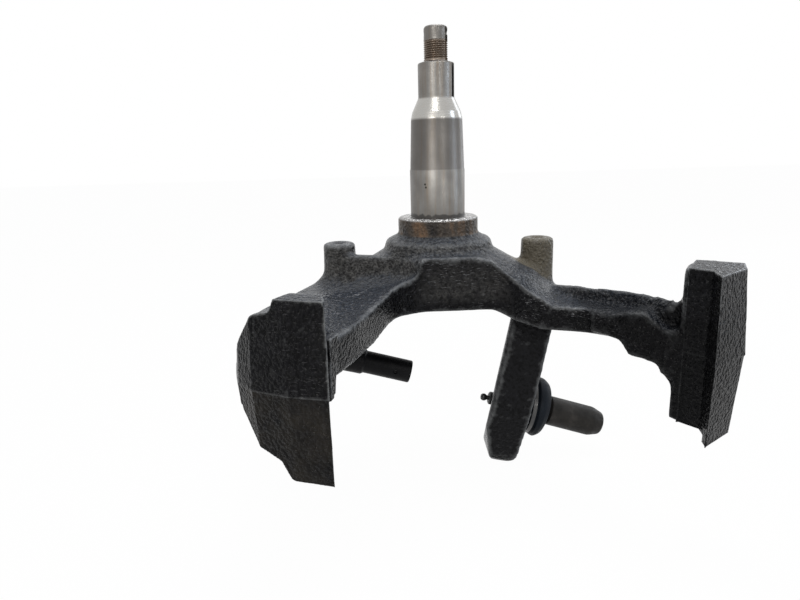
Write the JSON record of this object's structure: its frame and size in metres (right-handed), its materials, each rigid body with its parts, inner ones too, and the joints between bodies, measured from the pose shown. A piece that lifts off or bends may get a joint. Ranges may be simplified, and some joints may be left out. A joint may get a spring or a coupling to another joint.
{
  "type": "steering knuckle",
  "caption": "Cast front steering knuckle with a stepped spindle, an arched bridge to two caliper rails, and two pressed-in ball joints whose studs tilt and turn.",
  "frame": {"origin": "on the spindle axis, in the plane of the shoulder that the inner wheel bearing sits against", "axes": "+Z out along the spindle, +X towards the side that is up on the vehicle, -Y towards the caliper rails"},
  "size_m": [0.3564, 0.3287, 0.3681],
  "materials": {
    "casting": "rough",
    "stud_steel": "satin",
    "joint_steel": "satin",
    "seat_steel": "satin",
    "nipple_steel": "satin",
    "ring_steel": "satin",
    "boot_rubber": "matte"
  },
  "bodies": {
    "casting": {"knuckle": "casting", "upper_joint_housing": "joint_steel", "upper_bearing_seat": "seat_steel", "upper_pressure_seat": "seat_steel", "upper_preload_spring": "seat_steel", "upper_cover_plate": "joint_steel", "upper_grease_nipple": "nipple_steel", "upper_snap_ring": "ring_steel", "upper_boot_clamp": "ring_steel", "upper_dust_boot": "boot_rubber", "lower_joint_housing": "joint_steel", "lower_bearing_seat": "seat_steel", "lower_pressure_seat": "seat_steel", "lower_preload_spring": "seat_steel", "lower_cover_plate": "joint_steel", "lower_grease_nipple": "nipple_steel", "lower_snap_ring": "ring_steel", "lower_boot_clamp": "ring_steel", "lower_dust_boot": "boot_rubber"},
    "upper_tilt": {"upper_neck_ring": "ring_steel"},
    "upper_stud": {"upper_ball_stud": "stud_steel"},
    "lower_tilt": {"lower_neck_ring": "ring_steel"},
    "lower_stud": {"lower_ball_stud": "stud_steel"}
  },
  "joints": [
    {"name": "upper_stud_tilt", "type": "hinge", "parent": "casting", "child": "upper_tilt", "pos_m": [0.0749, 0, -0.1736], "axis": [0, 1, 0], "range_deg": [-25.5, 14.5], "deforming": ["upper_dust_boot"]},
    {"name": "upper_stud_spin", "type": "hinge", "parent": "upper_tilt", "child": "upper_stud", "pos_m": [0.0749, 0, -0.1736], "axis": [0.9553, 0, -0.2957], "continuous": true},
    {"name": "lower_stud_tilt", "type": "hinge", "parent": "casting", "child": "lower_tilt", "pos_m": [-0.121, 0, -0.1141], "axis": [0, 1, 0], "range_deg": [-23.5, 16.5], "deforming": ["lower_dust_boot"]},
    {"name": "lower_stud_spin", "type": "hinge", "parent": "lower_tilt", "child": "lower_stud", "pos_m": [-0.121, 0, -0.1141], "axis": [0.965, 0, -0.2622], "continuous": true}
  ]
}
